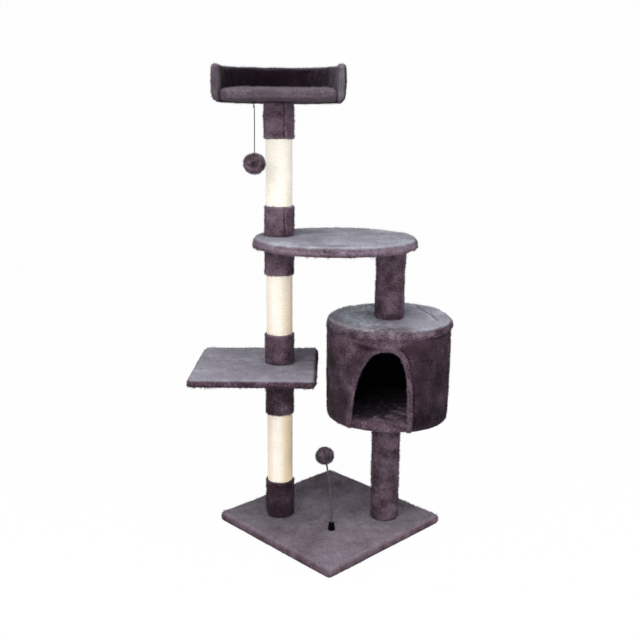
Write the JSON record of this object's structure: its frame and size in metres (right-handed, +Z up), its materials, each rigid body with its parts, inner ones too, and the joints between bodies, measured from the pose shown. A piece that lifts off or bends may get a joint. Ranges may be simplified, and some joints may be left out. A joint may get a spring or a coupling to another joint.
{
  "type": "cat tree",
  "caption": "Free-standing cat tree: square base, wound scratching posts, side and round platforms, an arched cabin, an open-fronted top perch, a hanging pompom and a pompom on a spring.",
  "frame": {"origin": "on the floor, midway between the axes of the two stacks of posts", "axes": "+Z up; +X along the line of the two stacks of posts, towards the cabin; -Y to the front, the side of the doorway and the open side of the perch"},
  "size_m": [0.6244, 0.5556, 1.123],
  "materials": {
    "plush": "short-pile plush, dark grey-plum",
    "sisal": "wound natural sisal rope, cream",
    "pompom": "trimmed plush ball",
    "cord": "thin braided cord, near black",
    "felt": "non-woven felt, black",
    "chipboard": "raw chipboard",
    "fibreboard": "thin bent hardboard",
    "cardboard": "spiral-wound cardboard tube",
    "plug_plastic": "moulded plastic",
    "black_plastic": "moulded plastic, matte black",
    "zinc_steel": "zinc-plated steel",
    "spring_steel": "dark spring wire"
  },
  "bodies": {
    "stand": {"base_board": "chipboard", "base_felt": "felt", "base_plush": "plush", "bolts": "zinc_steel", "cabin_door_binding": "plush", "cabin_floor_board": "chipboard", "cabin_floor_plush": "plush", "cabin_roof_board": "chipboard", "cabin_roof_plush": "plush", "cabin_wall_core": "fibreboard", "cabin_wall_plush": "plush", "cord_staple": "zinc_steel", "perch_board": "chipboard", "perch_floor_plush": "plush", "perch_wall_core": "fibreboard", "perch_wall_plush": "plush", "post_1_sisal": "sisal", "post_1_sleeves": "plush", "post_2_sisal": "sisal", "post_2_sleeves": "plush", "post_3_sisal": "sisal", "post_3_sleeves": "plush", "post_4_sleeve": "plush", "post_5_sleeve": "plush", "post_plugs": "plug_plastic", "post_tubes": "cardboard", "round_board": "chipboard", "round_plush": "plush", "side_board": "chipboard", "side_plush": "plush", "socket_screw": "zinc_steel", "spring_socket": "black_plastic", "studs": "zinc_steel", "threaded_inserts": "zinc_steel", "washers": "zinc_steel"},
    "cord_loop": {"cord_loop": "cord"},
    "hanging_toy": {"cord_knot": "cord", "toy_cord": "cord", "toy_ball": "pompom"},
    "spring_stem": {"spring_lower": "spring_steel"},
    "spring_head": {"spring_upper": "spring_steel", "spring_ball": "pompom"}
  },
  "joints": [
    {"name": "toy_swing_front_back", "type": "hinge", "parent": "stand", "child": "cord_loop", "pos_m": [-0.179, -0.08, 1.034], "axis": [1, 0, 0], "range_deg": [-40, 10]},
    {"name": "toy_swing_sideways", "type": "hinge", "parent": "cord_loop", "child": "hanging_toy", "pos_m": [-0.179, -0.08, 1.0315], "axis": [0, 1, 0], "range_deg": [-12, 35]},
    {"name": "spring_sway_sideways", "type": "hinge", "parent": "stand", "child": "spring_stem", "pos_m": [0.001, -0.085, 0.044], "axis": [0, 1, 0], "range_deg": [-22, 26], "stiffness_Nm_per_rad": 0.12},
    {"name": "spring_sway_front_back", "type": "hinge", "parent": "spring_stem", "child": "spring_head", "pos_m": [-0.00434, -0.085, 0.13134], "axis": [1, 0, 0], "range_deg": [-32, 32], "stiffness_Nm_per_rad": 0.08}
  ]
}
